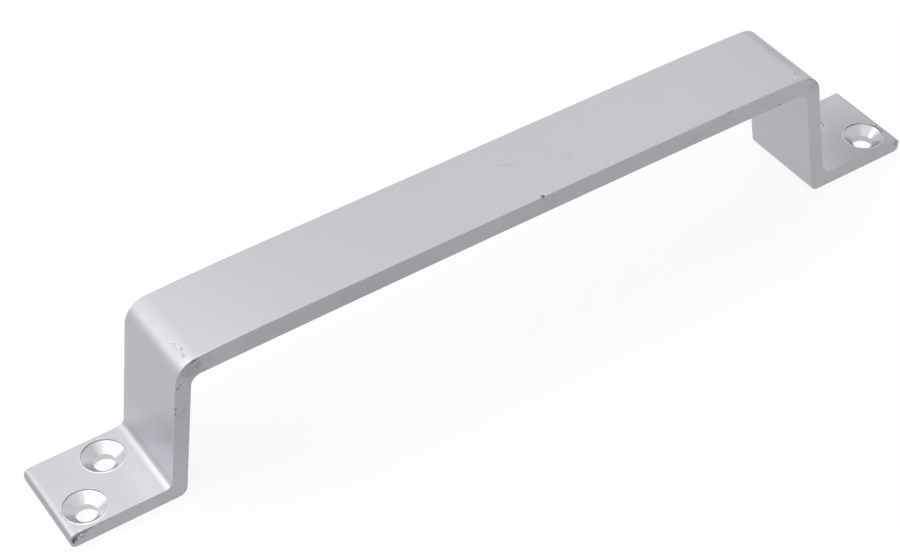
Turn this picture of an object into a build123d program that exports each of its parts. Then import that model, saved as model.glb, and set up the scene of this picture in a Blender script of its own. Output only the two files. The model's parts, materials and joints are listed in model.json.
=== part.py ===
"""Angled pull handle: a hat-shaped metal profile cut to width, with a long grip, two splayed legs and two flat
feet that each carry a staggered pair of countersunk screw holes.

Frame: +X along the grip, +Y across the width, +Z up. The feet stand on Z = 0 and the origin is the middle of
the footprint. All sizes are in millimetres and degrees.
"""
import os
from math import cos, hypot, radians, tan

from build123d import *

# Profile, seen along Y
overall_height = 33.3       # underside of the feet to the top of the grip
grip_span = 149.2           # over the outer leg faces, taken up to the level of the grip's top
foot_length = 21.4          # outer leg face to the foot's end, along the foot's top
leg_splay = 8.6             # lean of each leg, outward towards its foot
wall = 3.4                  # thickness of legs and feet
grip_thickness = 4.3        # thickness of the grip at mid-length
ease_run = 27.3             # length at each end of the grip where its top curves gently down
ease_drop = 0.62            # how far that curve falls before the bend
underside_crown = 0.42      # rise of the grip's underside from its ends to mid-length

# Bends and rounded ends of the profile
bend_outer = 5.3            # outside of the bend between grip and leg
bend_inner = 2.4            # inside of that bend
foot_bend_upper = 1.7       # hollow between the leg and the top of the foot
foot_bend_lower = 2.0       # round between the leg and the underside of the foot
toe_upper = 1.3             # upper edge of the foot's end
toe_lower = 1.2             # lower edge of the foot's end
toe_share = 0.48            # largest share of the wall that either edge's rounding may take

# Cut across the profile
cut_width = 20.0            # length of profile that makes one handle
edge_break = 0.1            # broken edge round both cut faces

# Countersunk screw holes, one pair in each foot
hole_bore = 4.4             # diameter of the clearance hole
sink_diameter = 8.7         # diameter of the countersink at the foot's top
sink_angle = 110.0          # full angle of the countersink's cone
sink_lip = 0.45             # straight wall between the foot's top and the cone
hole_from_end = 5.8         # foot's end to the axis of the outboard hole
hole_from_leg = 7.0         # outer leg face at the foot's top to the axis of the inboard hole
hole_from_side = 5.2        # cut face to the axis of the hole beside it


def outer_x(z):
    """Half the distance over the outer leg faces at height z."""
    return grip_span / 2 + tan(radians(leg_splay)) * (overall_height - z)


def inner_x(z):
    """Half the distance between the inner leg faces at height z."""
    return outer_x(z) - wall / cos(radians(leg_splay))


half_length = outer_x(wall) + foot_length


def make_profile():
    """Closed outline of the handle seen along Y, with its bends and foot ends rounded."""
    level_x = grip_span / 2 - ease_run
    top_z = overall_height - ease_drop
    top_x = outer_x(top_z)
    under_mid = overall_height - grip_thickness
    under_z = under_mid - underside_crown
    under_x = inner_x(under_z)

    with BuildSketch(Plane.XZ) as outline:
        with BuildLine():
            Line((-level_x, overall_height), (level_x, overall_height))
            ThreePointArc((-under_x, under_z), (0, under_mid), (under_x, under_z))
            for side in (1, -1):
                TangentArc((side * level_x, overall_height), (side * top_x, top_z), tangent=(side, 0))
                Polyline(
                    (side * top_x, top_z),
                    (side * outer_x(wall), wall),
                    (side * half_length, wall),
                    (side * half_length, 0),
                    (side * inner_x(0), 0),
                    (side * under_x, under_z),
                )
        make_face()
        corners = (
            (top_x, top_z, bend_outer),
            (under_x, under_z, bend_inner),
            (outer_x(wall), wall, foot_bend_upper),
            (inner_x(0), 0, foot_bend_lower),
            (half_length, wall, min(toe_upper, toe_share * wall)),
            (half_length, 0, min(toe_lower, toe_share * wall)),
        )
        for x, z, radius in corners:
            for side in (1, -1):
                corner = min(outline.vertices(), key=lambda v: hypot(v.X - side * x, v.Y - z))
                fillet(corner, radius)
    return outline.sketch


def make_screw_hole():
    """Space that a countersunk screw takes through a foot, with its axis on Z and the foot's underside at Z = 0."""
    bore_r = hole_bore / 2
    sink_r = sink_diameter / 2
    cone_height = (sink_r - bore_r) / tan(radians(sink_angle / 2))
    cone_top = wall - sink_lip
    with BuildPart() as space:
        with BuildSketch(Plane.XZ):
            with BuildLine():
                Polyline(
                    (0, -wall),
                    (bore_r, -wall),
                    (bore_r, cone_top - cone_height),
                    (sink_r, cone_top),
                    (sink_r, wall * 1.5),
                    (0, wall * 1.5),
                    close=True,
                )
            make_face()
        revolve(axis=Axis.Z)
    return space.part


def make_handle():
    """Profile cut to width with its edges broken, then drilled and countersunk from the top of each foot."""
    with BuildPart() as handle:
        extrude(make_profile(), amount=cut_width / 2, both=True)
        cut_faces = handle.faces().filter_by(Plane.XZ).sort_by(Axis.Y)
        chamfer(cut_faces[0].edges() + cut_faces[-1].edges(), edge_break)
        hole = make_screw_hole()
        hole_y = cut_width / 2 - hole_from_side
        outboard_x = half_length - hole_from_end
        inboard_x = outer_x(wall) + hole_from_leg
        for side in (1, -1):
            with Locations((side * outboard_x, -hole_y), (side * inboard_x, hole_y)):
                add(hole, mode=Mode.SUBTRACT)
    return handle.part


os.makedirs("parts", exist_ok=True)
export_step(make_handle(), "parts/pull_handle.step")
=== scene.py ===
"""Looks of the angled pull handle: one cut length of a hat-shaped aluminium extrusion, satin anodised.

The piece is worked out in millimetres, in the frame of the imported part: +X along the grip, +Y across the width
and +Z up, with the feet on Z = 0. It is turned to metres when its mesh is written.
"""
import json
import logging
from dataclasses import dataclass, field
from enum import Enum
from math import ceil, cos, hypot, pi, radians, sin, sqrt, tan
from typing import Any

import bmesh
import bpy
import numpy as np
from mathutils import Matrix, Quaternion, Vector

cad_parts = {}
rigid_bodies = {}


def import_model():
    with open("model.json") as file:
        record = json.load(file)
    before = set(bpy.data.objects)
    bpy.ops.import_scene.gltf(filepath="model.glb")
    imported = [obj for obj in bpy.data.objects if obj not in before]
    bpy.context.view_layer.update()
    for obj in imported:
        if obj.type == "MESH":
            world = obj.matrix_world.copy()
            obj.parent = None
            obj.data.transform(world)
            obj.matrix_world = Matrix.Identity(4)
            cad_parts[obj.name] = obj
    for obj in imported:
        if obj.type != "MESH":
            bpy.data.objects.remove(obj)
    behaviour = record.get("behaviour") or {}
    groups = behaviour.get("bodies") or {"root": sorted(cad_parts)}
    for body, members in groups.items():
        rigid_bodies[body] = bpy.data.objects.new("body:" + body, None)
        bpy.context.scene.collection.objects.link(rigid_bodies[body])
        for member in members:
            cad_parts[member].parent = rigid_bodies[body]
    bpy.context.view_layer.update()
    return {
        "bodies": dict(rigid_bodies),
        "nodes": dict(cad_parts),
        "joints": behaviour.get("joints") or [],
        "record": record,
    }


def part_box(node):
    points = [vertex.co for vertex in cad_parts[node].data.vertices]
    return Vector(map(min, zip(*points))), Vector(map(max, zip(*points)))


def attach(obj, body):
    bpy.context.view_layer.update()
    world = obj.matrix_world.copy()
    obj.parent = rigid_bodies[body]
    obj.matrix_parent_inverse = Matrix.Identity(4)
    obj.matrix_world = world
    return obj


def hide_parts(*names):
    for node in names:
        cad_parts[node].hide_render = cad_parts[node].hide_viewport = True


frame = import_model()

Array = np.ndarray
Tree = bpy.types.NodeTree
Point2 = tuple[float, float]
Point3 = tuple[float, float, float]

MM = 0.001
NODE = "pull_handle"
BODY = "root"
CUT_Y = -10.0  # near cut face, in millimetres
CUT_DEPTH = 0.8  # how deep a mark on that face reaches, in millimetres
WAVE_TURN = 20.0  # radians that Blender's wave texture turns through over each unit of length

log = logging.getLogger(NODE)


def linear(hex_colour: str) -> tuple[float, float, float, float]:
    """Linear RGBA of an sRGB hex colour: a short straight foot, then the 2.4 power of the shifted value.

    Args:
        hex_colour: six hex digits, such as "B4B3B9".

    Returns:
        Red, green and blue as linear light, and an alpha of 1.
    """
    srgb = [int(hex_colour[i : i + 2], 16) / 255 for i in (0, 2, 4)]
    light = [c / 12.92 if c <= 0.04045 else ((c + 0.055) / 1.055) ** 2.4 for c in srgb]
    return (light[0], light[1], light[2], 1.0)


def fill(tree: Tree, node: Any, inputs: dict[Any, Any]) -> None:
    """Sets or links inputs of a node.

    Args:
        tree: node tree that holds the node.
        node: the node.
        inputs: input name or number to a value, or to the socket that feeds it.
    """
    for key, value in inputs.items():
        if isinstance(value, bpy.types.NodeSocket):
            tree.links.new(value, node.inputs[key])
        else:
            node.inputs[key].default_value = value


def add_node(tree: Tree, kind: str, inputs: dict[Any, Any] | None = None, **settings: Any) -> Any:
    """Adds one node, sets its own settings, and fills or links its inputs.

    Args:
        tree: node tree that takes the node.
        kind: Blender's name of the node type.
        inputs: input name or number to a value, or to the socket that feeds it.
        settings: the node's own properties.

    Returns:
        The new node.
    """
    node = tree.nodes.new(kind)
    for name, value in settings.items():
        setattr(node, name, value)
    fill(tree, node, inputs or {})
    return node


def new_metal(name: str) -> tuple[bpy.types.Material, Any, Any]:
    """Starts a material that is metal all over.

    Args:
        name: the real material and how its surface was made.

    Returns:
        The material, its shader, and the socket of the place on the piece in metres.
    """
    made = bpy.data.materials.new(name)
    made.use_nodes = True
    shader = made.node_tree.nodes["Principled BSDF"]
    fill(made.node_tree, shader, {"Metallic": 1.0})
    return made, shader, add_node(made.node_tree, "ShaderNodeTexCoord").outputs["Object"]


def blend(tree: Tree, share: Any, first: Any, second: Any) -> Any:
    """Socket of a colour that goes from the first to the second as the share goes from 0 to 1."""
    return add_node(tree, "ShaderNodeMix", {0: share, 6: first, 7: second}, data_type="RGBA").outputs[2]


def noise(tree: Tree, place: Any, size_mm: float, detail: float, twist: float = 0.0) -> Any:
    """Socket of a soft noise from 0 to 1: its largest spots have that size, and it may be twisted."""
    inputs = {"Vector": place, "Scale": 1 / (size_mm * MM), "Detail": detail, "Distortion": twist}
    return add_node(tree, "ShaderNodeTexNoise", inputs).outputs["Fac"]


def spread(tree: Tree, value: Any, middle: float, half: float) -> Any:
    """Socket of a number that goes from half below the middle to half above it as the value goes from 0 to 1."""
    inputs = {"Value": value, "To Min": middle - half, "To Max": middle + half}
    return add_node(tree, "ShaderNodeMapRange", inputs).outputs["Result"]


def relief(tree: Tree, height: Any, height_mm: float, under: Any = None) -> Any:
    """Socket of the normals of fine relief, that many millimetres high, which may lie on another relief."""
    lower = {} if under is None else {"Normal": under}
    inputs = {"Height": height, "Distance": height_mm * MM, **lower}
    return add_node(tree, "ShaderNodeBump", inputs).outputs["Normal"]


def wave_scale(pitch_mm: float) -> float:
    """Scale at which a wave texture repeats after that many millimetres."""
    return 2 * pi / (WAVE_TURN * pitch_mm * MM)


class Zone(Enum):
    """Surfaces of the handle that were made in different ways. The value is the material's place on the mesh."""

    SKIN = 0
    CUT = 1
    SINK = 2


class Part(Enum):
    """Stretches of the profile, from the middle of the grip out to the end of a foot."""

    LEVEL = "level"
    EASE = "ease"
    BEND = "bend"
    LEG = "leg"
    HOLLOW = "hollow"
    FOOT = "foot"
    TOE = "toe"


@dataclass(frozen=True)
class Straight:
    """Straight stretch of the profile, in X and Z."""

    start: Point2
    end: Point2

    def points(self, share: Array) -> Array:
        """Start plus that share of the way to the end."""
        start, end = np.array(self.start), np.array(self.end)
        return start + share[:, None] * (end - start)

    def normals(self, share: Array) -> Array:
        """Unit vector to the left of the way, the same all along."""
        dx, dz = self.end[0] - self.start[0], self.end[1] - self.start[1]
        left = np.array([-dz, dx]) / hypot(dx, dz)
        return np.repeat(left[None], len(share), axis=0)


@dataclass(frozen=True)
class Round:
    """Round stretch of the profile, in X and Z, from one angle to another about its centre."""

    centre: Point2
    radius: float
    start_angle: float
    end_angle: float

    def directions(self, share: Array) -> Array:
        """Unit vectors from the centre, at angles spaced as the shares are."""
        angle = self.start_angle + share * (self.end_angle - self.start_angle)
        return np.stack([np.cos(angle), np.sin(angle)], axis=-1)

    def points(self, share: Array) -> Array:
        """Centre plus the radius in each direction."""
        return np.array(self.centre) + self.radius * self.directions(share)

    def normals(self, share: Array) -> Array:
        """Unit vectors to the left of the way: towards the centre where the way turns left."""
        turn = 1.0 if self.end_angle > self.start_angle else -1.0
        return -turn * self.directions(share)


@dataclass(frozen=True)
class Stretch:
    """One stretch of the hat profile: its outer and inner lines, stepped together."""

    part: Part
    steps: int
    outer: Straight | Round
    inner: Straight | Round


@dataclass(frozen=True)
class Band:
    """The whole profile as two lines of stations, from the left foot's end to the right foot's end."""

    outer: Array
    inner: Array
    outer_normals: Array
    inner_normals: Array
    parts: list[Part]

    def foot_stations(self, side: int) -> slice:
        """Stations of one foot's flat.

        Args:
            side: 1 for the right foot and -1 for the left.

        Returns:
            The stations, from the left.
        """
        flat = [i for i, part in enumerate(self.parts) if part is Part.FOOT]
        right = [i for i in flat if i >= len(self.parts) // 2]
        first, last = right[0], right[-1] + 1
        if side < 0:
            first, last = len(self.parts) - last, len(self.parts) - first
        return slice(first, last + 1)


@dataclass(frozen=True)
class HatProfile:
    """Section of the extrusion: a long grip, two splayed legs and two flat feet."""

    half_length: float
    height: float
    foot_length: float = 21.4
    leg_splay: float = radians(8.6)
    wall: float = 3.4
    grip_thickness: float = 4.3
    ease_run: float = 27.3
    ease_drop: float = 0.62
    underside_crown: float = 0.42
    bend_outer: float = 5.3
    bend_inner: float = 2.4
    foot_bend_upper: float = 1.7
    foot_bend_lower: float = 2.0
    toe_upper: float = 1.3
    toe_lower: float = 1.2
    station_step: float = 0.4
    leg_step: float = 1.0
    foot_step: float = 0.3
    round_steps: int = 16

    def outer_x(self, z: float) -> float:
        """Half the distance over the outer leg faces at height z."""
        return self.half_length - self.foot_length + tan(self.leg_splay) * (self.wall - z)

    def inner_x(self, z: float) -> float:
        """Half the distance between the inner leg faces at height z."""
        return self.outer_x(z) - self.wall / cos(self.leg_splay)

    def bend(self, ring: Point2, ring_radius: float, leg: Point2, radius: float) -> Round:
        """Bend that touches a wide arc of the grip from inside, and then the face of a leg.

        Its centre lies a radius inside the leg's line, and the difference of the two radii from the wide arc's
        centre, which is a quadratic for the place along the leg.

        Args:
            ring: centre of the wide arc.
            ring_radius: radius of the wide arc.
            leg: a point on the leg's face.
            radius: radius of the bend.

        Returns:
            The bend, from the grip down to the leg.
        """
        normal = np.array([cos(self.leg_splay), sin(self.leg_splay)])
        upward = np.array([-normal[1], normal[0]])
        start = np.array(leg) - radius * normal - np.array(ring)
        half_b = start @ upward
        reach = sqrt(half_b**2 - start @ start + (ring_radius - radius) ** 2)
        centre = start + (reach - half_b) * upward
        top_angle = np.arctan2(centre[1], centre[0])
        return Round(tuple(centre + np.array(ring)), radius, float(top_angle), self.leg_splay)

    def stretches(self) -> list[Stretch]:
        """Right half of the section, from the middle of the grip to the foot's end.

        The grip's top is level and then eases down on a wide arc. Its underside is one wide crowned arc. The legs,
        feet, bends and foot ends are straight lines and rounds that touch each other.
        """
        splay, wall = self.leg_splay, self.wall
        level_x = self.outer_x(self.height) - self.ease_run
        top_z = self.height - self.ease_drop
        run = self.outer_x(top_z) - level_x
        ease_radius = (run**2 + self.ease_drop**2) / (2 * self.ease_drop)
        ease_centre = (level_x, self.height - ease_radius)
        bend_out = self.bend(ease_centre, ease_radius, (self.outer_x(0), 0.0), self.bend_outer)
        ease = Round(ease_centre, ease_radius, pi / 2, bend_out.start_angle)

        under_z = self.height - self.grip_thickness - self.underside_crown
        crown_radius = (self.inner_x(under_z) ** 2 + self.underside_crown**2) / (2 * self.underside_crown)
        crown_centre = (0.0, self.height - self.grip_thickness - crown_radius)
        bend_in = self.bend(crown_centre, crown_radius, (self.inner_x(0), 0.0), self.bend_inner)
        crown_split = float(np.arccos(level_x / crown_radius))
        crown_mid = Round(crown_centre, crown_radius, pi / 2, crown_split)
        crown_end = Round(crown_centre, crown_radius, crown_split, bend_in.start_angle)

        hollow_z = wall + self.foot_bend_upper
        hollow_x = self.outer_x(hollow_z) + self.foot_bend_upper / cos(splay)
        hollow = Round((hollow_x, hollow_z), self.foot_bend_upper, pi + splay, 1.5 * pi)
        heel_x = self.inner_x(self.foot_bend_lower) + self.foot_bend_lower / cos(splay)
        heel = Round((heel_x, self.foot_bend_lower), self.foot_bend_lower, pi + splay, 1.5 * pi)

        upper_x, lower_x = self.half_length - self.toe_upper, self.half_length - self.toe_lower
        toe_up = Round((upper_x, wall - self.toe_upper), self.toe_upper, pi / 2, 0.0)
        toe_low = Round((lower_x, self.toe_lower), self.toe_lower, 1.5 * pi, 2 * pi)

        first, last = np.zeros(1), np.ones(1)
        leg_out = Straight(tuple(bend_out.points(last)[0]), tuple(hollow.points(first)[0]))
        leg_in = Straight(tuple(bend_in.points(last)[0]), tuple(heel.points(first)[0]))
        foot_top = Straight((hollow_x, wall), (upper_x, wall))
        foot_base = Straight((heel_x, 0.0), (lower_x, 0.0))
        level = Straight((0.0, self.height), (level_x, self.height))

        grip_steps = ceil(level_x / self.station_step)
        ease_steps = ceil(self.ease_run / self.station_step)
        leg_steps = ceil(self.height / self.leg_step)
        foot_steps = ceil(self.foot_length / self.foot_step)
        return [
            Stretch(Part.LEVEL, grip_steps, level, crown_mid),
            Stretch(Part.EASE, ease_steps, ease, crown_end),
            Stretch(Part.BEND, self.round_steps, bend_out, bend_in),
            Stretch(Part.LEG, leg_steps, leg_out, leg_in),
            Stretch(Part.HOLLOW, self.round_steps, hollow, heel),
            Stretch(Part.FOOT, foot_steps, foot_top, foot_base),
            Stretch(Part.TOE, self.round_steps, toe_up, toe_low),
        ]

    def band(self) -> Band:
        """Stations of both lines over the whole length: the right half, and its mirror image before it."""
        stretches = self.stretches()
        shares = [np.linspace(0.0, 1.0, s.steps + 1) for s in stretches]
        kept = [share if i == 0 else share[1:] for i, share in enumerate(shares)]
        pairs = list(zip(stretches, kept))
        right = [
            np.concatenate([s.outer.points(share) for s, share in pairs]),
            np.concatenate([s.inner.points(share) for s, share in pairs]),
            np.concatenate([s.outer.normals(share) for s, share in pairs]),
            np.concatenate([-s.inner.normals(share) for s, share in pairs]),
        ]
        mirror = np.array([-1.0, 1.0])
        whole = [np.concatenate([line[:0:-1] * mirror, line]) for line in right]
        parts = [s.part for s in stretches for _ in range(s.steps)]
        return Band(*whole, parts=parts[::-1] + parts)


@dataclass(frozen=True)
class WidthRows:
    """Rows across the width of the cut length: level all the way, and rounded over a small edge at both ends."""

    half_width: float
    edge: float = 0.1
    edge_steps: int = 4
    half_steps: int = 13
    support: float = 0.12

    def half_turn(self) -> Array:
        """Angles of a quarter round, from the flat to the cut face."""
        return np.linspace(0.0, pi / 2, self.edge_steps + 1)

    def y(self) -> Array:
        """Place of each row across the width: even rows, a close pair by each edge, and then sines of the round."""
        flat = self.half_width - self.edge
        half = np.append(np.linspace(0.0, flat - self.support, self.half_steps), flat)
        far = np.concatenate([half, flat + self.edge * np.sin(self.half_turn()[1:])])
        return np.concatenate([-far[:0:-1], far])

    def inset(self) -> Array:
        """How far each row is drawn in from the profile: nothing on the flat, and a round's cosine at the edges."""
        far = np.zeros(self.half_steps + 1)
        far = np.concatenate([far, self.edge * (1 - np.cos(self.half_turn()[1:]))])
        return np.concatenate([far[:0:-1], far])

    def flats(self, side: int) -> slice:
        """Flat rows from the middle to one edge, in rising order.

        Args:
            side: 1 for the far half and -1 for the near half.

        Returns:
            The rows of that half.
        """
        middle = self.half_steps + self.edge_steps
        return slice(middle, middle + self.half_steps + 1) if side > 0 else slice(self.edge_steps, middle + 1)

    def rounds(self, side: int) -> slice:
        """Rows of one rounded edge, in rising order: 1 for the far edge and -1 for the near one."""
        count = 2 * (self.half_steps + self.edge_steps) + 1
        return slice(count - 1 - self.edge_steps, count) if side > 0 else slice(0, self.edge_steps + 1)

    def carry(self, line: Array, normals: Array) -> Array:
        """Surface of a line carried across the width: the line less its normals times each row's inset.

        Args:
            line: points of the profile, in X and Z.
            normals: outward unit vectors at those points.

        Returns:
            A grid of points, stations by rows.
        """
        drawn = line[:, None, :] - normals[:, None, :] * self.inset()[None, :, None]
        y = np.broadcast_to(self.y(), drawn.shape[:2])
        return np.stack([drawn[..., 0], y, drawn[..., 1]], axis=-1)


@dataclass(frozen=True)
class ScrewHole:
    """Countersunk screw hole, with its axis on Z: a thin raised rim, a straight lip, a cone and a bore."""

    x: float
    y: float
    bore: float
    wall: float
    rim: float = 4.35
    cone_angle: float = radians(110)
    lip: float = 0.45
    rim_edge: float = 0.04
    bead_width: float = 0.16
    bead_height: float = 0.02
    burr_edge: float = 0.1
    round_steps: int = 4
    lip_steps: int = 3
    cone_steps: int = 10
    bore_steps: int = 4
    tile_rings: int = 6
    tile_border: float = 0.1
    tile_crowding: float = 1.5

    def top_radius(self) -> float:
        """Radius at which the raised rim begins to rise from the foot's top."""
        return self.rim + self.rim_edge + self.bead_width

    def section(self) -> Array:
        """Radius and height down the hole: raised rim, lip, cone, bore and rounded lower edge.

        The rim rises as the square of a sine over its width, and turns into the lip by a quarter round.
        """
        quarter = np.linspace(0.0, pi / 2, self.round_steps + 1)
        throat_z = self.wall - self.lip - (self.rim - self.bore) / tan(self.cone_angle / 2)
        crest_z = self.wall + self.bead_height
        cone_top = (self.rim, self.wall - self.lip)
        throat = (self.bore, throat_z)
        rim_r = self.rim + self.rim_edge * (1 - np.sin(quarter))
        rim_z = crest_z - self.rim_edge * (1 - np.cos(quarter))
        bead_r = self.top_radius() - self.bead_width * quarter[:-1] / (pi / 2)
        bead_z = self.wall + self.bead_height * np.sin(quarter[:-1]) ** 2
        burr_r = self.bore + self.burr_edge * (1 - np.cos(quarter))
        burr_z = self.burr_edge * (1 - np.sin(quarter))
        rows = [
            np.stack([bead_r, bead_z], axis=-1),
            np.stack([rim_r, rim_z], axis=-1),
            np.linspace((self.rim, crest_z - self.rim_edge), cone_top, self.lip_steps + 1)[1:],
            np.linspace(cone_top, throat, self.cone_steps + 1)[1:],
            np.linspace(throat, (self.bore, self.burr_edge), self.bore_steps + 1)[1:],
            np.stack([burr_r, burr_z], axis=-1)[1:],
        ]
        return np.concatenate(rows)

    def angles(self, edge: Array) -> Array:
        """Angle at which each point of a tile's edge is seen from the hole's axis, with no jumps."""
        return np.unwrap(np.arctan2(edge[:, 1] - self.y, edge[:, 0] - self.x))

    def tile(self, edge: Array, radius: float, z: float) -> Array:
        """Face round the hole: straight ways from a circle about the axis out to each point of the tile's edge.

        A narrow border of the same width lies along the circle and along the edge, so that the shading of the
        rounds beyond them doesn't spread over the flat.

        Args:
            edge: closed line of points round the tile.
            radius: radius of the circle.
            z: height of the circle.

        Returns:
            A grid of points, rings by points of the edge, closer together by the circle.
        """
        angle = self.angles(edge)
        circle = np.stack(
            [self.x + radius * np.cos(angle), self.y + radius * np.sin(angle), np.full_like(angle, z)],
            axis=-1,
        )
        way = edge - circle
        border = self.tile_border / np.linalg.norm(way, axis=-1)
        between = np.linspace(0.0, 1.0, self.tile_rings - 1)[:, None] ** self.tile_crowding
        inside = border + between * (1 - 2 * border)
        out = np.concatenate([np.zeros((1, len(edge))), inside, np.ones((1, len(edge)))])
        return circle[None] + out[:, :, None] * way[None]

    def sides(self, top_edge: Array, base_edge: Array) -> Array:
        """Side of the hole: its section turned about the axis, at the angles of the upper and the lower tile.

        The angles go over from those of the upper tile to those of the lower one on the way down.

        Args:
            top_edge: closed line round the upper tile.
            base_edge: closed line round the lower tile.

        Returns:
            A grid of points, section by angles.
        """
        section = self.section()
        down = np.linspace(0.0, 1.0, len(section))
        top, base = self.angles(top_edge), self.angles(base_edge)
        angle = top[None] + down[:, None] * (base - top)[None]
        radius = section[:, 0][:, None]
        z = np.broadcast_to(section[:, 1][:, None], angle.shape)
        return np.stack([self.x + radius * np.cos(angle), self.y + radius * np.sin(angle), z], axis=-1)


@dataclass(frozen=True)
class Nick:
    """Small dent: the metal is pushed in, most at its place and less around it. In millimetres."""

    place: Point3
    push: Point3
    reach: float


@dataclass(frozen=True)
class WornEdges:
    """Knocks on the edges of the cut faces: a few that stand out, and many small ones spread by a seeded draw."""

    known: tuple[Nick, ...] = (
        Nick((5.9, -10.0, 33.3), (0.0, 0.2, -0.12), 0.35),
        Nick((51.4, -10.0, 33.3), (0.0, 0.14, -0.14), 0.4),
        Nick((-72.4, -10.0, 32.7), (0.06, 0.12, -0.10), 0.6),
        Nick((-75.9, -10.0, 22.4), (0.10, 0.12, 0.0), 0.45),
        Nick((-98.4, -10.0, 3.3), (0.0, 0.06, -0.04), 0.4),
        Nick((22.3, -9.9, 33.3), (0.0, 0.08, -0.08), 0.4),
    )
    count: int = 90
    depth: float = 0.05
    reach: float = 0.35
    cut_off: float = 4.0
    seed: int = 11

    def press(self, points: Array, edge: Array, normals: Array) -> Array:
        """Points moved by all nicks: each adds its push times exp(-(distance / reach) squared), up to a cut-off.

        The cut-off is counted in reaches.

        Args:
            points: points of the whole piece.
            edge: points along the edges that the small nicks lie on.
            normals: outward unit vectors at those points.

        Returns:
            The moved points.
        """
        draw = np.random.default_rng(self.seed)
        chosen = draw.integers(0, len(edge), self.count)
        depth = self.depth * draw.random(self.count) ** 2
        place = np.concatenate([[nick.place for nick in self.known], edge[chosen]])
        push = np.concatenate([[nick.push for nick in self.known], -depth[:, None] * normals[chosen]])
        reach = np.concatenate([[nick.reach for nick in self.known], np.full(self.count, self.reach)])
        square = (points**2).sum(-1)[:, None] + (place**2).sum(-1) - 2 * points @ place.T
        far = square / reach**2
        return points + np.where(far < self.cut_off**2, np.exp(-far), 0.0) @ push


@dataclass
class PatchMesh:
    """Mesh gathered from grids of points that meet along their edges."""

    points: list[Array] = field(default_factory=list)
    faces: list[Array] = field(default_factory=list)
    zones: list[Array] = field(default_factory=list)
    count: int = 0
    sharp_angle: float = radians(35)

    def add(self, grid: Array, zone: Zone) -> None:
        """Takes one grid of points as rows of four-sided faces.

        Args:
            grid: points, rows by columns.
            zone: surface that the faces belong to.
        """
        rows, columns = grid.shape[:2]
        index = np.arange(rows * columns).reshape(rows, columns) + self.count
        corners = [index[:-1, :-1], index[1:, :-1], index[1:, 1:], index[:-1, 1:]]
        faces = np.stack(corners, axis=-1).reshape(-1, 4)
        self.points.append(grid.reshape(-1, 3))
        self.faces.append(faces)
        self.zones.append(np.full(len(faces), zone.value))
        self.count += rows * columns

    def mesh(self, name: str, seam: float) -> bpy.types.Mesh:
        """One closed mesh in metres, with the grids joined at their shared edges and all faces outwards.

        Args:
            name: name of the mesh.
            seam: distance in millimetres under which points are one.

        Returns:
            The mesh, smooth but for its sharp edges.
        """
        made = bpy.data.meshes.new(name)
        made.from_pydata((np.concatenate(self.points) * MM).tolist(), [], np.concatenate(self.faces).tolist())
        made.polygons.foreach_set("material_index", np.concatenate(self.zones).astype(np.int32))
        work = bmesh.new()
        work.from_mesh(made)
        bmesh.ops.remove_doubles(work, verts=work.verts, dist=seam * MM)
        bmesh.ops.recalc_face_normals(work, faces=work.faces)
        open_edges = sum(not edge.is_manifold for edge in work.edges)
        volume = work.calc_volume() / MM**3
        log.info("%s: %d faces, %d open edges, %.0f mm3", name, len(work.faces), open_edges, volume)
        work.to_mesh(made)
        work.free()
        made.polygons.foreach_set("use_smooth", np.ones(len(made.polygons), dtype=bool))
        made.set_sharp_from_angle(angle=self.sharp_angle)
        return made


@dataclass(frozen=True)
class Mark:
    """Soiled or scraped spot, or a patch of painted shade or painted light: an ellipsoid about a place on the
    handle. In millimetres and degrees.
    """

    place: Point3
    reach: Point3
    strength: float
    turn: Point3 = (0.0, 0.0, 0.0)
    core: float = 0.35

    def over(self, tree: Tree, place: Any, under: Any) -> Any:
        """Lays this mark over others: its strength in the core, and a smooth fall to what is under it at the rim.

        Args:
            tree: node tree of the material.
            place: socket of the place on the piece.
            under: share of the stain so far, a number or a socket.

        Returns:
            Socket of the share with this mark.
        """
        own = add_node(
            tree,
            "ShaderNodeMapping",
            {
                "Vector": place,
                "Location": tuple(c * MM for c in self.place),
                "Rotation": tuple(radians(a) for a in self.turn),
                "Scale": tuple(r * MM for r in self.reach),
            },
            vector_type="TEXTURE",
        )
        away = add_node(tree, "ShaderNodeVectorMath", {0: own.outputs[0]}, operation="LENGTH")
        share = add_node(
            tree,
            "ShaderNodeMapRange",
            {
                "Value": away.outputs["Value"],
                "From Min": 1.0,
                "From Max": self.core,
                "To Min": under,
                "To Max": self.strength,
            },
            interpolation_type="SMOOTHSTEP",
        )
        return share.outputs["Result"]


def on_cut(
    x: float, z: float, along: float, up: float, strength: float, lean: float = 0.0, core: float = Mark.core
) -> Mark:
    """Mark on the near cut face, at a place in X and Z, with its reach along X and up Z, and leant about Y."""
    return Mark((x, CUT_Y, z), (along, CUT_DEPTH, up), strength, (0.0, lean, 0.0), core)


@dataclass(frozen=True)
class Stain:
    """Marks of one colour. A fine noise shakes the place they are read at, so that none has a smooth rim."""

    colour: str
    marks: tuple[Mark, ...]
    shake_mm: float = 0.22
    shake_size_mm: float = 0.5
    shake_detail: float = 2.0

    def lay(self, tree: Tree, place: Any, ground: Any) -> Any:
        """Lays all marks over a colour.

        Args:
            tree: node tree of the material.
            place: socket of the place on the piece.
            ground: socket of the colour under the marks.

        Returns:
            Socket of the marked colour.
        """
        shake = add_node(
            tree,
            "ShaderNodeTexNoise",
            {"Vector": place, "Scale": 1 / (self.shake_size_mm * MM), "Detail": self.shake_detail},
            normalize=False,
        )
        shaken = add_node(
            tree,
            "ShaderNodeVectorMath",
            {0: shake.outputs["Color"], 1: (self.shake_mm * MM,) * 3, 2: place},
            operation="MULTIPLY_ADD",
        )
        share: Any = 0.0
        for mark in self.marks:
            share = mark.over(tree, shaken.outputs[0], share)
        return blend(tree, share, ground, linear(self.colour))


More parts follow.
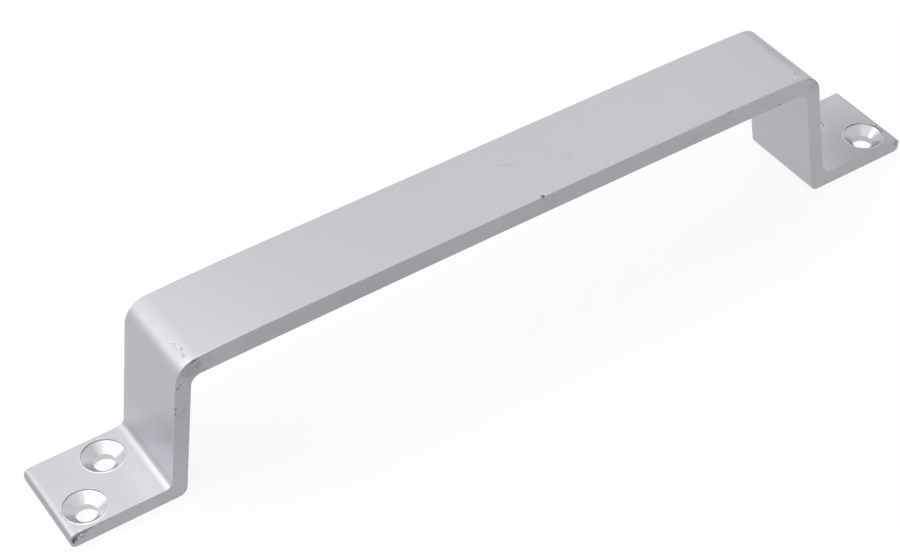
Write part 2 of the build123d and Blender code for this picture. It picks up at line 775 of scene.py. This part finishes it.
@dataclass(frozen=True)
class SatinAnodised:
    """Aluminium, extruded, etched and clear anodised: a pale grey with wide, soft reflections and no grain to see.

    The darker stain begins with broad weak films of painted shade on the feet, the left foot's end and the right
    bend, and the lighter one with a broad film of painted light where leg and foot mirror each other. The marks
    that the photograph shows lie over these, among them two painted highlights on the left bend's near edge; the
    rest are soil and scrapes.
    """

    colour: str = "B8B7BC"
    cloud_colour: str = "B5B4BA"
    roughness: float = 0.38
    roughness_spread: float = 0.03
    cloud_mm: float = 22.0
    grain_mm: float = 0.3
    grain_height_mm: float = 0.002
    die_line_mm: float = 0.6
    die_line_length_mm: float = 30.0
    die_line_height_mm: float = 0.0006
    soil_and_painted_shade: Stain = Stain(
        "3A383B",
        (
            # Broad weak films of painted shade: over the left foot's end, down the left foot's end face, over the
            # right foot and over the right bend.
            Mark((-98.0, 4.0, 3.4), (8.0, 14.0, 2.0), 0.03, core=0.3),
            Mark((-100.5, 0.0, 1.3), (1.6, 30.0, 2.2), 0.24, core=0.5),
            Mark((92.0, -13.0, 3.4), (20.0, 28.0, 6.0), 0.32, core=0.1),
            Mark((76.0, 1.0, 31.0), (6.5, 18.0, 5.0), 0.13, core=0.6),
            # Small dark marks of soil on the left bend, the grip, the right bend and the edges.
            Mark((-72.0, -4.2, 32.5), (0.26, 0.24, 0.4), 0.42),
            Mark((-72.1, -5.3, 32.5), (0.2, 0.9, 0.4), 0.14, (0, 0, -5), 0.6),
            Mark((-71.45, -6.4, 32.7), (0.4, 0.7, 0.4), 0.42, (0, 0, 5)),
            Mark((-71.95, -7.9, 32.55), (0.3, 1.25, 0.4), 0.3, (0, 0, -13)),
            Mark((5.3, 2.15, 33.3), (2.7, 0.15, 0.3), 0.16, (0, 0, -25), 0.7),
            Mark((5.95, -9.8, 33.2), (0.5, 0.5, 0.7), 0.85, core=0.6),
            Mark((17.2, -2.4, 33.3), (0.4, 0.45, 0.3), 0.28),
            Mark((15.2, -3.5, 33.3), (0.15, 0.6, 0.3), 0.08, (0, 0, -30)),
            Mark((22.3, -8.4, 33.3), (0.25, 0.25, 0.3), 0.12),
            Mark((11.0, 8.8, 33.3), (0.7, 0.25, 0.3), 0.08, (0, 0, 30)),
            Mark((51.7, -9.9, 33.25), (0.8, 0.3, 0.4), 0.32),
            Mark((54.3, -9.5, 33.2), (0.3, 0.3, 0.3), 0.1),
            Mark((62.2, -8.8, 33.1), (0.3, 0.3, 0.3), 0.08),
            Mark((70.4, -7.7, 32.8), (0.5, 0.4, 0.5), 0.26),
            Mark((69.6, -9.4, 32.8), (0.35, 0.4, 0.5), 0.24),
            Mark((68.7, -9.4, 32.8), (0.7, 0.24, 0.5), 0.24, (0, 0, -20)),
            Mark((-75.9, -9.8, 22.6), (0.3, 0.3, 0.45), 0.35),
            Mark((-76.1, -9.8, 21.4), (0.3, 0.3, 0.4), 0.35),
            Mark((-100.1, -9.6, 1.8), (0.5, 0.5, 0.8), 0.55),
        ),
    )
    scrapes_and_painted_light: Stain = Stain(
        "F2F2F6",
        (
            # A broad film of painted light in the left corner, where leg and foot mirror each other.
            Mark((-79.5, -7.0, 7.0), (10.0, 22.0, 9.5), 0.21, core=0.25),
            # Small light scrapes on the left bend.
            Mark((-71.8, -3.8, 32.6), (0.22, 0.22, 0.4), 0.45),
            Mark((-71.7, -5.4, 32.6), (0.15, 0.6, 0.4), 0.12),
            Mark((-71.7, -7.1, 32.6), (0.15, 0.6, 0.4), 0.12),
            # Painted highlights: a spot at the nick where the left bend's highlight meets the near edge, and a thin
            # line along that edge to the right.
            Mark((-72.2, -9.9, 32.7), (0.8, 0.4, 0.6), 0.65),
            Mark((-69.5, -10.0, 33.1), (4.0, 0.22, 0.4), 0.32, core=0.7),
            # Small light scrapes: by the nicks, along a scratch and near the right bend.
            Mark((6.3, 2.7, 33.3), (1.0, 0.1, 0.3), 0.16, (0, 0, -27)),
            Mark((6.5, -9.5, 33.3), (0.35, 0.2, 0.3), 0.15, (0, 0, -30)),
            Mark((69.6, -8.6, 33.0), (0.5, 0.5, 0.5), 0.12),
            Mark((22.6, -9.2, 33.3), (0.35, 0.2, 0.3), 0.3),
        ),
    )

    def material(self) -> bpy.types.Material:
        """Material of the extruded skin.

        Slow clouds in the colour keep the wide faces from looking painted. The etch grain, about ten times coarser
        than the real one so that it can be drawn, spreads the reflections. Die lines run along the extrusion, which
        is across the handle, and break up the edge of a highlight a little.
        """
        made, shader, place = new_metal("satin_anodised_extruded_aluminium")
        tree = made.node_tree
        cloud = noise(tree, place, self.cloud_mm, detail=3.0)
        colour = blend(tree, cloud, linear(self.colour), linear(self.cloud_colour))
        # Painted shade and soil, then painted light, painted highlights and scrapes, over the clouded colour.
        soiled_and_painted_shade = self.soil_and_painted_shade.lay(tree, place, colour)
        worn_and_painted_light = self.scrapes_and_painted_light.lay(tree, place, soiled_and_painted_shade)
        grain = noise(tree, place, self.grain_mm, detail=2.0)
        rough = spread(tree, grain, self.roughness, self.roughness_spread)
        drawn = add_node(
            tree,
            "ShaderNodeVectorMath",
            {0: place, 1: (1.0, self.die_line_mm / self.die_line_length_mm, 1.0)},
            operation="MULTIPLY",
        )
        lines = noise(tree, drawn.outputs[0], self.die_line_mm, detail=1.0)
        drawn_relief = relief(tree, lines, self.die_line_height_mm)
        etched = relief(tree, grain, self.grain_height_mm, under=drawn_relief)
        fill(tree, shader, {"Base Color": worn_and_painted_light, "Roughness": rough, "Normal": etched})
        return made


@dataclass(frozen=True)
class SawCut:
    """Aluminium, sawn to width, deburred and anodised: darker and duller than the skin, with smears of dirt."""

    colour: str = "B2B1B6"
    smear_colour: str = "ACAAAF"
    roughness: float = 0.5
    roughness_spread: float = 0.06
    smear_mm: float = 7.0
    smear_twist: float = 0.6
    saw_centre: Point3 = (-160.0, 0.0, 260.0)
    saw_pitch_mm: float = 0.5
    saw_height_mm: float = 0.0015
    saw_wobble: float = 0.4
    rouge: Stain = Stain("A5908F", (on_cut(73.6, 30.0, 2.2, 1.6, 0.24),))
    soil_and_painted_shade: Stain = Stain(
        "3A383B",
        (
            Mark((0.0, -10.0, 31.0), (70.0, 2.0, 4.0), 0.06, core=0.6),
            on_cut(-71.9, 30.6, 3.6, 3.0, 0.17, core=0.2),
            on_cut(-70.3, 30.9, 1.2, 0.8, 0.26, lean=-35),
            on_cut(-72.3, 29.5, 0.8, 0.8, 0.24),
            on_cut(-70.8, 32.3, 1.3, 0.3, 0.7, lean=-16),
            on_cut(-68.0, 30.8, 0.25, 0.6, 0.2),
            on_cut(-69.2, 29.1, 0.6, 0.35, 0.22),
            on_cut(-73.4, 31.1, 0.4, 0.35, 0.3),
            on_cut(-74.4, 27.9, 0.9, 0.25, 0.3, lean=-20),
            on_cut(-75.0, 27.4, 0.4, 0.5, 0.42),
            on_cut(-67.9, 31.1, 0.7, 0.4, 0.14),
            on_cut(-75.9, 22.6, 0.3, 0.5, 0.55),
            on_cut(-76.1, 21.4, 0.3, 0.4, 0.55),
            on_cut(-74.4, 21.5, 0.7, 0.6, 0.14),
            on_cut(-75.4, 20.5, 0.5, 0.35, 0.2),
            on_cut(-77.0, 9.6, 0.8, 0.3, 0.14),
            on_cut(-78.0, 6.3, 0.3, 0.8, 0.2),
            on_cut(-97.4, 3.1, 2.6, 0.4, 0.42),
            on_cut(-97.6, 2.8, 0.9, 0.5, 0.42),
            on_cut(-99.0, 2.8, 0.8, 0.45, 0.4),
            on_cut(-98.5, 2.7, 0.5, 0.4, 0.65),
            on_cut(-98.1, 1.9, 0.6, 0.4, 0.4),
            Mark((-99.6, -10.0, 2.1), (0.8, 0.9, 1.0), 0.72),
            Mark((-99.9, -10.0, 1.8), (0.5, 0.9, 0.85), 0.85),
            on_cut(-94.1, 3.1, 0.8, 0.25, 0.35),
            on_cut(-92.4, 3.2, 0.6, 0.25, 0.3),
            on_cut(5.8, 33.1, 0.4, 0.45, 0.6),
            on_cut(7.8, 31.3, 0.3, 0.3, 0.3),
            on_cut(51.7, 33.0, 0.8, 0.4, 0.34),
            on_cut(72.5, 32.2, 0.8, 0.4, 0.5, lean=25),
            on_cut(73.4, 31.7, 0.9, 0.32, 0.45, lean=40, core=0.6),
            on_cut(74.5, 30.3, 0.9, 0.32, 0.45, lean=58, core=0.6),
            on_cut(75.1, 28.8, 0.7, 0.35, 0.45, lean=75, core=0.6),
            on_cut(64.7, 28.9, 1.2, 0.4, 0.26),
            on_cut(74.9, 12.0, 0.4, 0.4, 0.14),
            on_cut(99.6, 2.4, 1.1, 1.1, 0.3),
        ),
    )
    scrapes_and_painted_light: Stain = Stain(
        "E2E2E6",
        (
            on_cut(-73.6, 27.8, 0.4, 0.2, 0.5),
            on_cut(-70.8, 31.8, 0.3, 0.2, 0.3),
            on_cut(-71.7, 31.6, 0.35, 0.2, 0.25),
            on_cut(-66.5, 32.1, 0.3, 0.2, 0.3),
            on_cut(-98.2, 2.4, 0.4, 0.2, 0.5),
            on_cut(-96.3, 1.0, 0.6, 0.2, 0.2),
        ),
    )

    def material(self) -> bpy.types.Material:
        """Material of the cut faces.

        The blade's arcs are rings about a far centre, drawn about twice as coarse as a real saw's so that they can
        be seen: they give the face a faint grain. Broad smears keep it from looking like the skin.
        """
        made, shader, place = new_metal("saw_cut_anodised_aluminium")
        tree = made.node_tree
        smear = noise(tree, place, self.smear_mm, detail=4.0, twist=self.smear_twist)
        marked = blend(tree, smear, linear(self.colour), linear(self.smear_colour))
        for stain in (self.rouge, self.soil_and_painted_shade, self.scrapes_and_painted_light):
            marked = stain.lay(tree, place, marked)
        rough = spread(tree, smear, self.roughness, self.roughness_spread)
        about = add_node(
            tree,
            "ShaderNodeVectorMath",
            {0: place, 1: tuple(c * MM for c in self.saw_centre)},
            operation="SUBTRACT",
        )
        arcs = add_node(
            tree,
            "ShaderNodeTexWave",
            {"Vector": about.outputs[0], "Scale": wave_scale(self.saw_pitch_mm), "Distortion": self.saw_wobble},
            wave_type="RINGS",
            rings_direction="Y",
        )
        sawn = relief(tree, arcs.outputs["Fac"], self.saw_height_mm)
        fill(tree, shader, {"Base Color": marked, "Roughness": rough, "Normal": sawn})
        return made


@dataclass(frozen=True)
class Countersunk:
    """Aluminium, drilled and countersunk with a turning cutter: brighter and smoother than the skin.

    The darker stain is one weak film of painted shade over the right foot's holes.
    """

    colour: str = "D0D0D4"
    dull_colour: str = "C8C8CC"
    roughness: float = 0.28
    ring_mm: float = 0.16
    ring_height_mm: float = 0.0012
    # Painted shade: one weak film over the right foot's holes.
    soil_and_painted_shade: Stain = Stain("3A383B", (Mark((92.0, -2.0, 1.5), (16.0, 18.0, 6.0), 0.16, core=0.6),))

    def material(self) -> bpy.types.Material:
        """Material of the holes.

        The cutter leaves fine rings about the hole's axis, so their relief and tone depend on height alone. They
        are drawn about three times as coarse as real feed marks, and give the cone a turned sheen.
        """
        made, shader, place = new_metal("countersunk_turned_aluminium")
        tree = made.node_tree
        rings = add_node(
            tree,
            "ShaderNodeTexWave",
            {"Vector": place, "Scale": wave_scale(self.ring_mm), "Distortion": 0.0},
            wave_type="BANDS",
            bands_direction="Z",
        )
        colour = blend(tree, rings.outputs["Fac"], linear(self.colour), linear(self.dull_colour))
        soiled_and_painted_shade = self.soil_and_painted_shade.lay(tree, place, colour)
        turned = relief(tree, rings.outputs["Fac"], self.ring_height_mm)
        fill(tree, shader, {"Base Color": soiled_and_painted_shade, "Roughness": self.roughness, "Normal": turned})
        return made


@dataclass
class PullHandle:
    """The handle as one closed piece: skin, cut faces and screw holes."""

    profile: HatProfile
    rows: WidthRows
    holes: list[ScrewHole]
    edges: WornEdges = WornEdges()
    cut_steps: int = 8
    seam: float = 0.002

    @classmethod
    def from_frame(cls, packed: dict[str, Any]) -> "PullHandle":
        """Takes length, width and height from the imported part's box, and the holes from its mounts.

        Args:
            packed: what the frame was loaded as.

        Returns:
            The handle, ready to build.
        """
        low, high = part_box(NODE)
        profile = HatProfile(half_length=high.x / MM, height=high.z / MM)
        holes = [
            ScrewHole(
                x=side * mount["dims"]["spacing_x_mm"] / 2,
                y=mount["pos_m"][1] / MM,
                bore=mount["dims"]["hole_r_mm"],
                wall=profile.wall,
            )
            for mount in packed["record"]["mounts"]
            if mount["kind"] == "bolt_pattern"
            for side in (1, -1)
        ]
        return cls(profile, WidthRows(half_width=high.y / MM), holes)

    def add_skin(self, patches: PatchMesh, grid: Array, feet: list[slice]) -> None:
        """Adds one side of the carried profile, with the flats of both feet left open for their tiles.

        Args:
            patches: mesh that takes the grids.
            grid: the whole side, stations by rows.
            feet: stations of the left and the right foot.
        """
        left, right = feet
        patches.add(grid[: left.start + 1], Zone.SKIN)
        patches.add(grid[left.stop - 1 : right.start + 1], Zone.SKIN)
        patches.add(grid[right.stop - 1 :], Zone.SKIN)
        for foot in feet:
            for side in (1, -1):
                patches.add(grid[foot, self.rows.rounds(side)], Zone.SKIN)

    def tile_edge(self, grid: Array, hole: ScrewHole, band: Band) -> Array:
        """Closed line round the half of a foot that holds one hole, taken from the side's own grid.

        Args:
            grid: the whole side, stations by rows.
            hole: the hole in that half.
            band: the profile's stations.

        Returns:
            Points round the tile, the first one again at the end.
        """
        half = grid[band.foot_stations(1 if hole.x > 0 else -1), self.rows.flats(1 if hole.y > 0 else -1)]
        return np.concatenate([half[:, 0], half[-1, 1:], half[-2::-1, -1], half[0, -2::-1]])

    def patches(self) -> PatchMesh:
        """Grids of the whole piece: both sides and ends of the profile, both cut faces, tiles and hole sides."""
        band = self.profile.band()
        made = PatchMesh()
        outer = self.rows.carry(band.outer, band.outer_normals)
        inner = self.rows.carry(band.inner, band.inner_normals)
        feet = [band.foot_stations(side) for side in (-1, 1)]
        for grid in (outer, inner):
            self.add_skin(made, grid, feet)
        across = np.linspace(0.0, 1.0, self.cut_steps + 1)[:, None]
        for end in (0, -1):
            face = band.outer[end] + across * (band.inner[end] - band.outer[end])
            normals = np.repeat(band.outer_normals[end][None], len(face), axis=0)
            made.add(self.rows.carry(face, normals), Zone.SKIN)
        for row in (0, -1):
            top, base = outer[:, row], inner[:, row]
            made.add(top[None] + across[:, :, None] * (base - top)[None], Zone.CUT)
        for hole in self.holes:
            top_edge = self.tile_edge(outer, hole, band)
            base_edge = self.tile_edge(inner, hole, band)
            made.add(hole.tile(top_edge, hole.top_radius(), hole.wall), Zone.SKIN)
            made.add(hole.tile(base_edge, hole.bore + hole.burr_edge, 0.0), Zone.SKIN)
            made.add(hole.sides(top_edge, base_edge), Zone.SINK)
        self.wear(made, outer, band)
        return made

    def wear(self, patches: PatchMesh, outer: Array, band: Band) -> None:
        """Knocks the upper edges of both cut faces. The small nicks push in halfway between the two faces there.

        Args:
            patches: mesh whose points are moved.
            outer: the profile's outer side, stations by rows.
            band: the profile's stations.
        """
        level = np.stack([band.outer_normals[:, 0], np.zeros(len(outer)), band.outer_normals[:, 1]], axis=-1)
        across = np.array([0.0, 1.0, 0.0])
        edge = np.concatenate([outer[:, 0], outer[:, -1]])
        normals = np.concatenate([level - across, level + across]) / sqrt(2)
        patches.points = [self.edges.press(points, edge, normals) for points in patches.points]

    def build(self) -> bpy.types.Object:
        """Makes the piece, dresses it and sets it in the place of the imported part."""
        mesh = self.patches().mesh("pull_handle_body", self.seam)
        for finish in (SatinAnodised(), SawCut(), Countersunk()):
            mesh.materials.append(finish.material())
        piece = bpy.data.objects.new(mesh.name, mesh)
        bpy.context.scene.collection.objects.link(piece)
        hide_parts(NODE)
        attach(piece, BODY)
        return piece


@dataclass(frozen=True)
class Softbox:
    """Lamp behind a diffuser, aimed at the handle. Headings go from +Y towards +X, and sizes are in metres."""

    name: str
    heading: float
    elevation: float
    width: float
    height: float
    radiance: float
    distance: float = 1.0

    def place(self) -> Vector:
        """Middle of the diffuser: the distance along the heading and the elevation."""
        heading, elevation = radians(self.heading), radians(self.elevation)
        level = self.distance * cos(elevation)
        return Vector((level * sin(heading), level * cos(heading), self.distance * sin(elevation)))

    def build(self) -> bpy.types.Object:
        """Adds the lamp, out of the camera's sight. Its power is pi times its radiance and its area."""
        lamp = bpy.data.lights.new(self.name, "AREA")
        lamp.shape = "RECTANGLE"
        lamp.size, lamp.size_y = self.width, self.height
        lamp.energy = pi * self.radiance * self.width * self.height
        made = bpy.data.objects.new(self.name, lamp)
        made.location = self.place()
        made.rotation_euler = (-self.place()).to_track_quat("-Z", "Y").to_euler()
        made.visible_camera = False
        bpy.context.scene.collection.objects.link(made)
        return made


@dataclass(frozen=True)
class Camera:
    """Camera of the portrait, by where it stands, what its middle looks at and how it is tipped. In millimetres."""

    place: Point3 = (-182.405, -280.159, 317.141)
    target: Point3 = (-2.955, 11.288, 0.0)
    roll: float = radians(-2.264)
    lens: float = 89.853
    sensor: float = 36.0
    near_clip: float = 0.01

    def build(self) -> bpy.types.Object:
        """Adds the camera and makes it the scene's own."""
        data = bpy.data.cameras.new("portrait_camera")
        data.lens, data.sensor_width, data.sensor_fit = self.lens, self.sensor, "HORIZONTAL"
        data.clip_start = self.near_clip
        made = bpy.data.objects.new(data.name, data)
        place, target = Vector(self.place) * MM, Vector(self.target) * MM
        made.location = place
        made.rotation_mode = "QUATERNION"
        level = (target - place).to_track_quat("-Z", "Y")
        made.rotation_quaternion = level @ Quaternion((0.0, 0.0, 1.0), self.roll)
        bpy.context.scene.collection.objects.link(made)
        bpy.context.scene.camera = made
        return made


@dataclass(frozen=True)
class Studio:
    """White sweep under soft light: pale floor, even surround, a bank of light on the left and an arc behind."""

    floor_half: float = 6.0
    floor_drop: float = 0.00005
    floor_colour: str = "F4F4F4"
    floor_white: float = 0.88
    white: float = 1.0
    fill: float = 0.7
    lamps: tuple[Softbox, ...] = (
        Softbox("left_bank", heading=-93, elevation=48, width=0.6, height=0.42, radiance=1.14, distance=0.63),
        Softbox("overhead", heading=-150, elevation=75, width=0.5, height=0.5, radiance=0.37),
        Softbox("top_back", heading=0, elevation=72, width=0.4, height=0.32, radiance=2.5),
        Softbox("back_high", heading=5, elevation=57, width=0.26, height=0.26, radiance=1.14),
        Softbox("back_left_high", heading=-35, elevation=57, width=0.3, height=0.3, radiance=2.1),
        Softbox("back_left", heading=-55, elevation=40, width=0.3, height=0.3, radiance=2.5),
        Softbox("back_left_low", heading=-55, elevation=25, width=0.3, height=0.26, radiance=0.74),
        Softbox("back_right", heading=45, elevation=42, width=0.3, height=0.3, radiance=0.37),
    )

    def white_share(self, tree: Tree) -> Any:
        """Socket that is 1 for what the camera sees, straight, in metal or through glass, and 0 for other light."""
        path = add_node(tree, "ShaderNodeLightPath")
        shown = add_node(
            tree,
            "ShaderNodeMath",
            {0: path.outputs["Is Camera Ray"], 1: path.outputs["Is Glossy Ray"]},
            operation="MAXIMUM",
        )
        shown = add_node(
            tree,
            "ShaderNodeMath",
            {0: shown.outputs[0], 1: path.outputs["Is Transmission Ray"]},
            operation="MAXIMUM",
        )
        return shown.outputs[0]

    def floor(self) -> bpy.types.Object:
        """Flat white floor that keeps the handle's soft shadow."""
        half, z = self.floor_half, -self.floor_drop
        mesh = bpy.data.meshes.new("white_floor")
        corners = [(-half, -half, z), (half, -half, z), (half, half, z), (-half, half, z)]
        mesh.from_pydata(corners, [], [(0, 1, 2, 3)])
        made = bpy.data.materials.new("matt_white_paper")
        made.use_nodes = True
        tree = made.node_tree
        tree.nodes.remove(tree.nodes["Principled BSDF"])
        paper = add_node(tree, "ShaderNodeBsdfDiffuse", {"Color": linear(self.floor_colour)})
        white = add_node(tree, "ShaderNodeEmission", {"Strength": self.white})
        share = add_node(
            tree, "ShaderNodeMath", {0: self.white_share(tree), 1: self.floor_white}, operation="MULTIPLY"
        )
        mix = add_node(tree, "ShaderNodeMixShader", {0: share.outputs[0], 1: paper.outputs[0], 2: white.outputs[0]})
        tree.links.new(mix.outputs[0], tree.nodes["Material Output"].inputs["Surface"])
        mesh.materials.append(made)
        floor = bpy.data.objects.new(mesh.name, mesh)
        bpy.context.scene.collection.objects.link(floor)
        return floor

    def surround(self) -> None:
        """Even white surround: full white to the camera and in the metal, and a softer fill for the floor."""
        world = bpy.data.worlds.new("white_tent")
        world.use_nodes = True
        tree = world.node_tree
        strength = add_node(
            tree,
            "ShaderNodeMapRange",
            {"Value": self.white_share(tree), "To Min": self.fill, "To Max": self.white},
        )
        tree.nodes["Background"].inputs["Color"].default_value = (1.0, 1.0, 1.0, 1.0)
        tree.links.new(strength.outputs["Result"], tree.nodes["Background"].inputs["Strength"])
        bpy.context.scene.world = world

    def build(self) -> None:
        """Sets up floor, surround, lamps and the plain view transform."""
        self.floor()
        self.surround()
        for lamp in self.lamps:
            lamp.build()
        bpy.context.scene.view_settings.view_transform = "Standard"


def main() -> None:
    """Builds the handle, the studio and the camera, and reports what was made."""
    logging.basicConfig(level=logging.INFO, format="%(name)s: %(message)s")
    piece = PullHandle.from_frame(frame).build()
    log.info("piece %s rides on %s", piece.name, BODY)
    Studio().build()
    camera = Camera().build()
    log.info("camera %s", camera.name)


if __name__ == "__main__":
    main()
